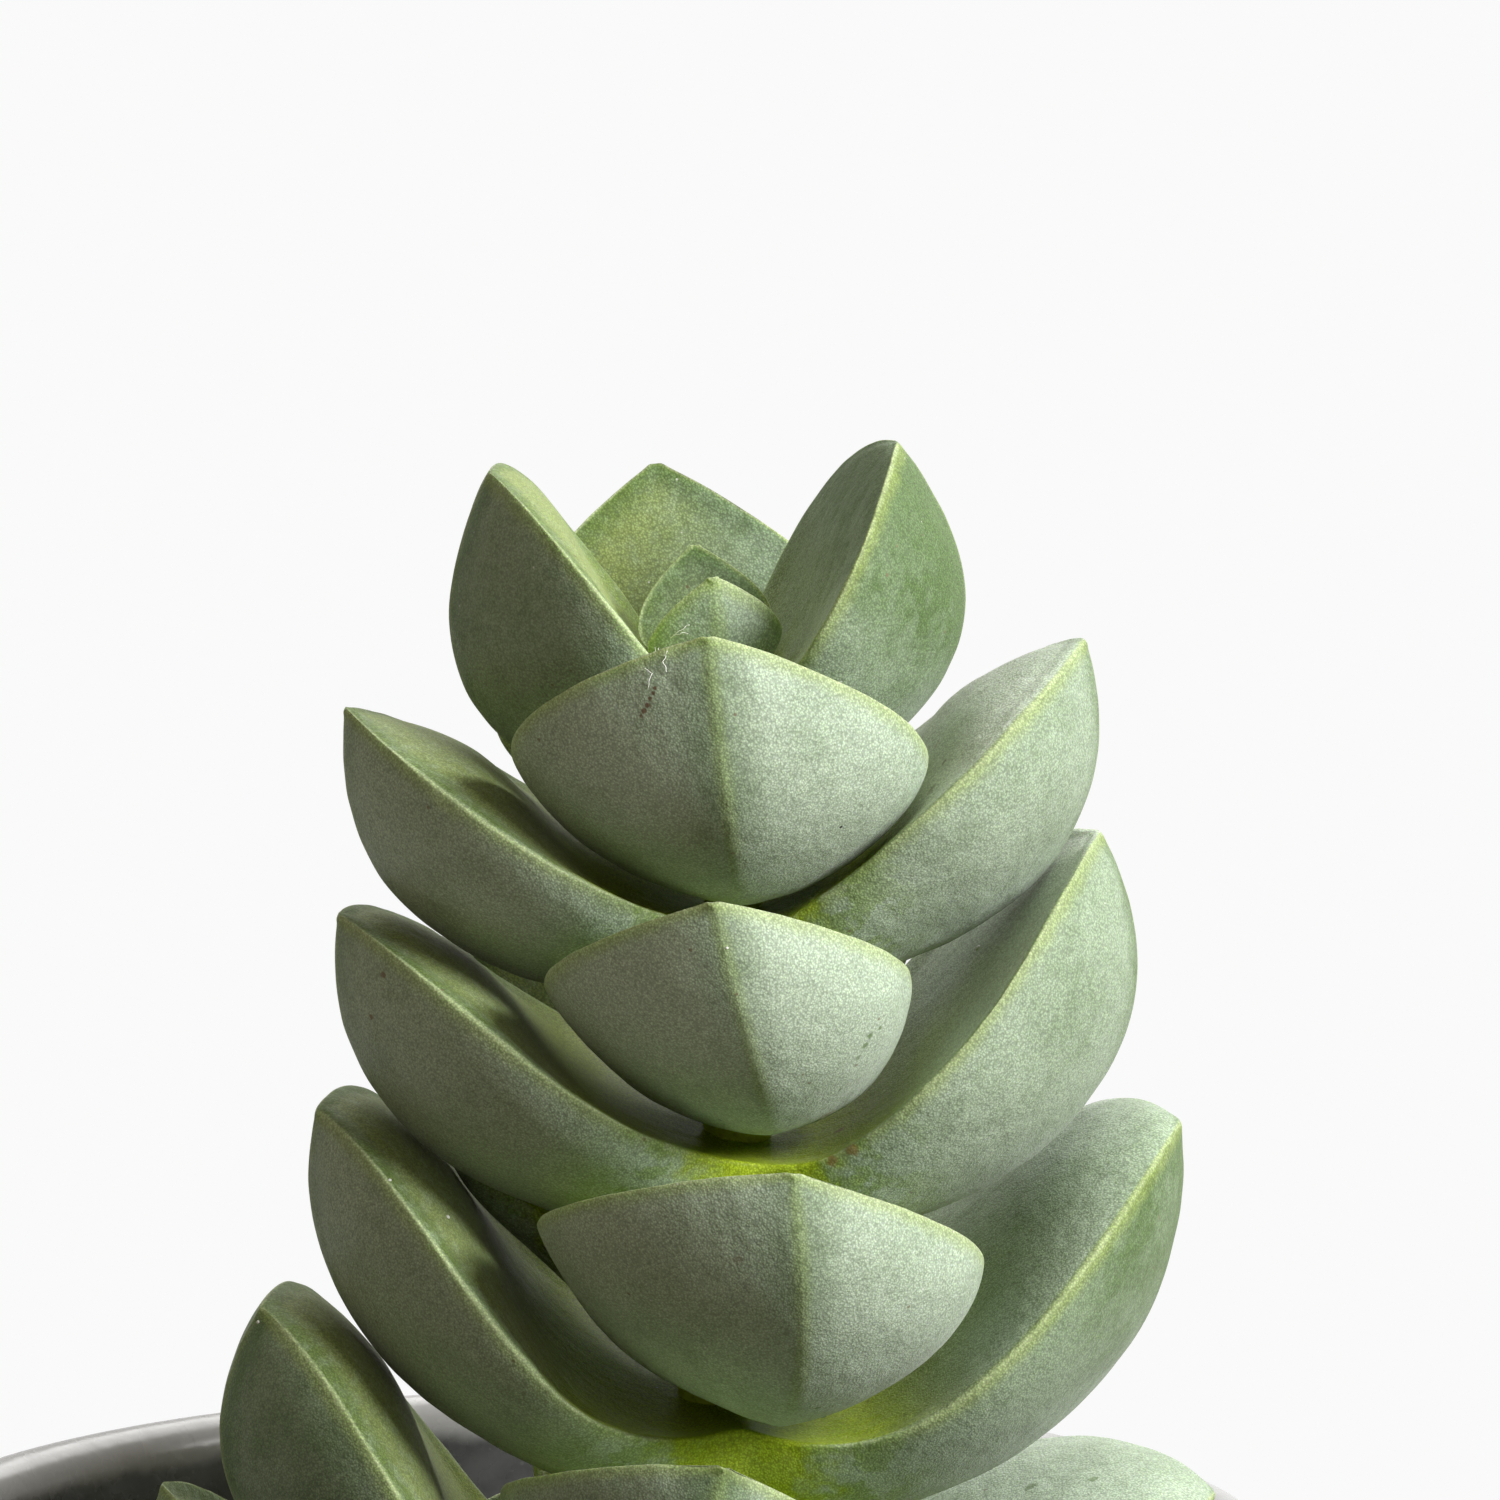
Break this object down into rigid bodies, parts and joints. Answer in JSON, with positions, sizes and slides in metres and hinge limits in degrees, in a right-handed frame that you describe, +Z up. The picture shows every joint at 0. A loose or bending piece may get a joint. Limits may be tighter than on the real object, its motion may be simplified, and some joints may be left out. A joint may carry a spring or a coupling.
{
  "type": "potted moonglow crassula",
  "caption": "Small succulent with a leaning tower of thick, keeled, grey-green leaves in crossed pairs, standing in a round tapered charcoal pot of soil.",
  "frame": {"origin": "centre of the pot's foot, in the plane that it stands on", "axes": "+Z up along the pot's axis, -Y towards the side that the picture shows, +X to the right of it"},
  "size_m": [0.085, 0.085, 0.146],
  "materials": {
    "pot": "satin",
    "soil": "matte",
    "stem": "matte",
    "leaf": "matte"
  },
  "bodies": {
    "root": {"pot": "pot", "soil": "soil", "stem": "stem", "leaf_pair_01": "leaf", "leaf_pair_02": "leaf", "leaf_pair_03": "leaf", "leaf_pair_04": "leaf", "leaf_pair_05": "leaf", "leaf_pair_06": "leaf", "leaf_pair_07": "leaf", "leaf_pair_08": "leaf", "leaf_pair_09": "leaf", "leaf_pair_10": "leaf", "leaf_pair_11": "leaf", "leaf_pair_12": "leaf"}
  },
  "joints": []
}
